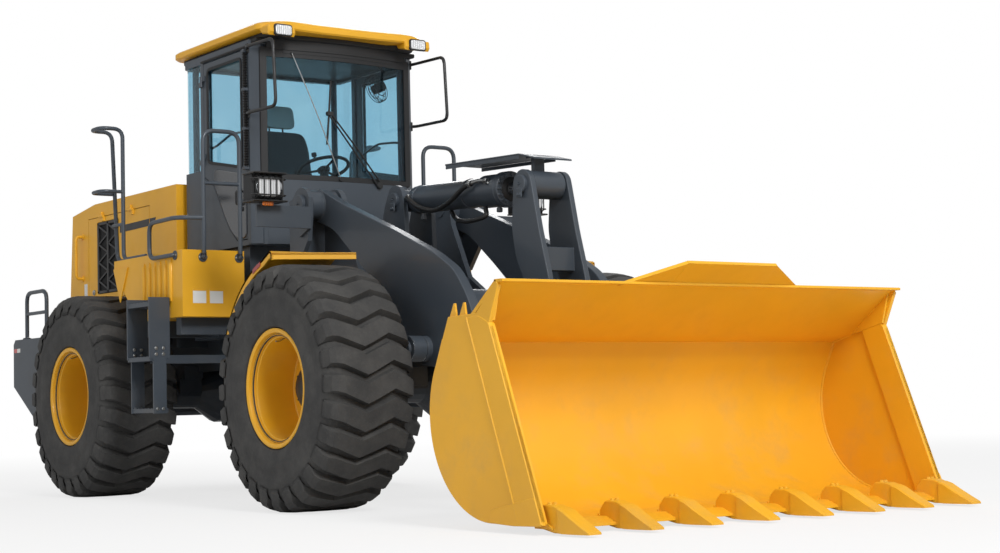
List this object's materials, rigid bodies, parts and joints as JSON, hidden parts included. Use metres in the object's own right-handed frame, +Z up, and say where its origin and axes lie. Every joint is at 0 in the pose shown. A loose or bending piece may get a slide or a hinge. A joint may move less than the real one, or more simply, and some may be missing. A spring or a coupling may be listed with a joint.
{
  "type": "wheel loader",
  "caption": "Articulated wheel loader: cab and engine hood on the rear frame, Z-bar boom with a toothed bucket on the front frame, big lugged tyres.",
  "frame": {"origin": "on the ground, in the middle of the bounding box seen from above", "axes": "+X towards the bucket, +Y to the machine's left, +Z up"},
  "size_m": [8.19, 3, 3.507],
  "materials": {
    "yellow_paint": "satin",
    "grey_paint": "satin",
    "black_plastic": "matte",
    "tyre_rubber": "matte",
    "window_glass": "gloss",
    "chrome_steel": "gloss"
  },
  "bodies": {
    "rear": {"rear_frame": "grey_paint", "counterweight": "grey_paint", "engine_block": "black_plastic", "hood": "yellow_paint", "exhaust": "black_plastic", "cab": "grey_paint", "windshield": "window_glass", "rear_window": "window_glass", "cab_roof": "yellow_paint", "seat": "black_plastic", "steering_column": "black_plastic", "axle_rear": "grey_paint", "platform_right": "yellow_paint", "door_rail_right": "grey_paint", "rear_rail_right": "grey_paint", "ladder_right": "grey_paint", "platform_left": "yellow_paint", "door_rail_left": "grey_paint", "rear_rail_left": "grey_paint", "ladder_left": "grey_paint"},
    "front": {"front_frame": "grey_paint", "axle_front": "grey_paint", "fender_right": "yellow_paint", "fender_left": "yellow_paint"},
    "wheel_front_right": {"tyre_front_right": "tyre_rubber", "rim_front_right": "yellow_paint"},
    "wheel_front_left": {"tyre_front_left": "tyre_rubber", "rim_front_left": "yellow_paint"},
    "wheel_rear_right": {"tyre_rear_right": "tyre_rubber", "rim_rear_right": "yellow_paint"},
    "wheel_rear_left": {"tyre_rear_left": "tyre_rubber", "rim_rear_left": "yellow_paint"},
    "boom": {"boom": "grey_paint"},
    "bucket_pins": {"bucket_pin_right": "chrome_steel", "bucket_pin_left": "chrome_steel"},
    "bucket": {"bucket": "yellow_paint", "cutting_edge": "yellow_paint"},
    "crank_pin": {"crank_pin": "chrome_steel"},
    "bellcrank": {"bellcrank": "grey_paint"},
    "link_pin": {"link_pin": "chrome_steel"},
    "bucket_link": {"bucket_link": "grey_paint"},
    "tilt_barrel": {"tilt_barrel": "grey_paint"},
    "tilt_rod": {"tilt_rod": "chrome_steel"},
    "lift_barrel_right": {"lift_barrel_right": "grey_paint"},
    "lift_rod_right": {"lift_rod_right": "chrome_steel"},
    "steer_barrel_right": {"steer_barrel_right": "grey_paint"},
    "steer_rod_right": {"steer_rod_right": "chrome_steel"},
    "cab_door_right": {"cab_door_right": "grey_paint", "door_glass_right": "window_glass"},
    "hood_door_right": {"hood_door_right": "yellow_paint"},
    "lift_barrel_left": {"lift_barrel_left": "grey_paint"},
    "lift_rod_left": {"lift_rod_left": "chrome_steel"},
    "steer_barrel_left": {"steer_barrel_left": "grey_paint"},
    "steer_rod_left": {"steer_rod_left": "chrome_steel"},
    "cab_door_left": {"cab_door_left": "grey_paint", "door_glass_left": "window_glass"},
    "hood_door_left": {"hood_door_left": "yellow_paint"},
    "rear_grille": {"rear_grille": "black_plastic"}
  },
  "joints": [
    {"name": "wheel_front_right_spin", "type": "hinge", "parent": "front", "child": "wheel_front_right", "pos_m": [0.905, -1.125, 0.785], "axis": [0, 1, 0], "continuous": true},
    {"name": "wheel_front_left_spin", "type": "hinge", "parent": "front", "child": "wheel_front_left", "pos_m": [0.905, 1.125, 0.785], "axis": [0, 1, 0], "continuous": true},
    {"name": "wheel_rear_right_spin", "type": "hinge", "parent": "rear", "child": "wheel_rear_right", "pos_m": [-2.395, -1.125, 0.785], "axis": [0, 1, 0], "continuous": true},
    {"name": "wheel_rear_left_spin", "type": "hinge", "parent": "rear", "child": "wheel_rear_left", "pos_m": [-2.395, 1.125, 0.785], "axis": [0, 1, 0], "continuous": true},
    {"name": "articulation", "type": "hinge", "parent": "rear", "child": "front", "pos_m": [-0.745, 0, 0.9], "axis": [0, 0, 1], "range_deg": [-35, 35]},
    {"name": "boom_lift", "type": "hinge", "parent": "front", "child": "boom", "pos_m": [0.105, 0, 2.06], "axis": [0, -1, 0], "range_deg": [0, 77]},
    {"name": "bucket_pin_turn", "type": "hinge", "parent": "boom", "child": "bucket_pins", "pos_m": [2.615, 0, 0.33], "axis": [0, 1, 0], "range_deg": [0, 53.91]},
    {"name": "bucket_tilt", "type": "hinge", "parent": "bucket_pins", "child": "bucket", "pos_m": [2.615, 0, 0.33], "axis": [0, 1, 0], "range_deg": [-42, 65]},
    {"name": "crank_pin_turn", "type": "hinge", "parent": "boom", "child": "crank_pin", "pos_m": [2.035, 0, 1.24], "axis": [0, -1, 0], "range_deg": [0, 10.67]},
    {"name": "bellcrank_turn", "type": "hinge", "parent": "crank_pin", "child": "bellcrank", "pos_m": [2.035, 0, 1.24], "axis": [0, -1, 0], "range_deg": [-7.84, 12.13]},
    {"name": "link_pin_turn", "type": "hinge", "parent": "bucket", "child": "link_pin", "pos_m": [2.735, 0, 0.64], "axis": [0, -1, 0], "range_deg": [0, 26.27]},
    {"name": "link_turn", "type": "hinge", "parent": "link_pin", "child": "bucket_link", "pos_m": [2.735, 0, 0.64], "axis": [0, -1, 0], "range_deg": [-24.61, 38.07]},
    {"name": "tilt_barrel_swing", "type": "hinge", "parent": "front", "child": "tilt_barrel", "pos_m": [0.365, 0, 2.09], "axis": [0, -1, 0], "range_deg": [0, 85.83]},
    {"name": "tilt_rod_slide", "type": "slide", "parent": "tilt_barrel", "child": "tilt_rod", "axis": [0.9992, 0, -0.0389], "range_m": [-0.1599, 0.1034]},
    {"name": "lift_barrel_right_swing", "type": "hinge", "parent": "front", "child": "lift_barrel_right", "pos_m": [-0.125, -0.69, 1.12], "axis": [0, -1, 0], "range_deg": [0, 56.95]},
    {"name": "lift_rod_right_slide", "type": "slide", "parent": "lift_barrel_right", "child": "lift_rod_right", "axis": [0.9976, 0, -0.0693], "range_m": [0, 1.0172]},
    {"name": "steer_barrel_right_swing", "type": "hinge", "parent": "rear", "child": "steer_barrel_right", "pos_m": [-1.495, -0.43, 0.86], "axis": [0, 0, 1], "range_deg": [-7.6, 7.6]},
    {"name": "steer_rod_right_slide", "type": "slide", "parent": "steer_barrel_right", "child": "steer_rod_right", "axis": [1, 0, 0], "range_m": [-0.2573, 0.2573]},
    {"name": "cab_door_right_swing", "type": "hinge", "parent": "rear", "child": "cab_door_right", "pos_m": [-1.435, -0.714, 2.6], "axis": [0, 0, -1], "range_deg": [0, 45]},
    {"name": "hood_door_right_lift", "type": "hinge", "parent": "rear", "child": "hood_door_right", "pos_m": [-2.915, -0.764, 2.297], "axis": [-1, 0, 0], "range_deg": [0, 75]},
    {"name": "lift_barrel_left_swing", "type": "hinge", "parent": "front", "child": "lift_barrel_left", "pos_m": [-0.125, 0.69, 1.12], "axis": [0, -1, 0], "range_deg": [0, 56.95]},
    {"name": "lift_rod_left_slide", "type": "slide", "parent": "lift_barrel_left", "child": "lift_rod_left", "axis": [0.9976, 0, -0.0693], "range_m": [0, 1.0172]},
    {"name": "steer_barrel_left_swing", "type": "hinge", "parent": "rear", "child": "steer_barrel_left", "pos_m": [-1.495, 0.43, 0.86], "axis": [0, 0, 1], "range_deg": [-7.6, 7.6]},
    {"name": "steer_rod_left_slide", "type": "slide", "parent": "steer_barrel_left", "child": "steer_rod_left", "axis": [1, 0, 0], "range_m": [-0.2573, 0.2573]},
    {"name": "cab_door_left_swing", "type": "hinge", "parent": "rear", "child": "cab_door_left", "pos_m": [-1.435, 0.714, 2.6], "axis": [0, 0, 1], "range_deg": [0, 45]},
    {"name": "hood_door_left_lift", "type": "hinge", "parent": "rear", "child": "hood_door_left", "pos_m": [-2.915, 0.764, 2.297], "axis": [1, 0, 0], "range_deg": [0, 75]},
    {"name": "rear_grille_swing", "type": "hinge", "parent": "rear", "child": "rear_grille", "pos_m": [-3.90756, 0.617, 1.975], "axis": [-0.0882, 0, -0.9961], "range_deg": [0, 100]}
  ],
  "couplings": [
    {"joint": "bucket_pin_turn", "follows": "boom_lift", "ratio": 0.7},
    {"joint": "crank_pin_turn", "follows": "boom_lift", "ratio": 0.1384},
    {"joint": "bellcrank_turn", "follows": "bucket_tilt", "ratio": 0.1864},
    {"joint": "link_pin_turn", "follows": "boom_lift", "ratio": 0.3411},
    {"joint": "link_turn", "follows": "bucket_tilt", "ratio": 0.5856},
    {"joint": "tilt_barrel_swing", "follows": "boom_lift", "ratio": 1.1146},
    {"joint": "tilt_rod_slide", "follows": "bucket_tilt", "m_per_rad": -0.1409},
    {"joint": "lift_barrel_right_swing", "follows": "boom_lift", "ratio": 0.7395},
    {"joint": "lift_rod_right_slide", "follows": "boom_lift", "m_per_rad": 0.7568},
    {"joint": "steer_barrel_right_swing", "follows": "articulation", "ratio": 0.2169},
    {"joint": "steer_rod_right_slide", "follows": "articulation", "m_per_rad": 0.4211},
    {"joint": "lift_barrel_left_swing", "follows": "boom_lift", "ratio": 0.7395},
    {"joint": "lift_rod_left_slide", "follows": "boom_lift", "m_per_rad": 0.7568},
    {"joint": "steer_barrel_left_swing", "follows": "articulation", "ratio": 0.2169},
    {"joint": "steer_rod_left_slide", "follows": "articulation", "m_per_rad": -0.4211}
  ]
}
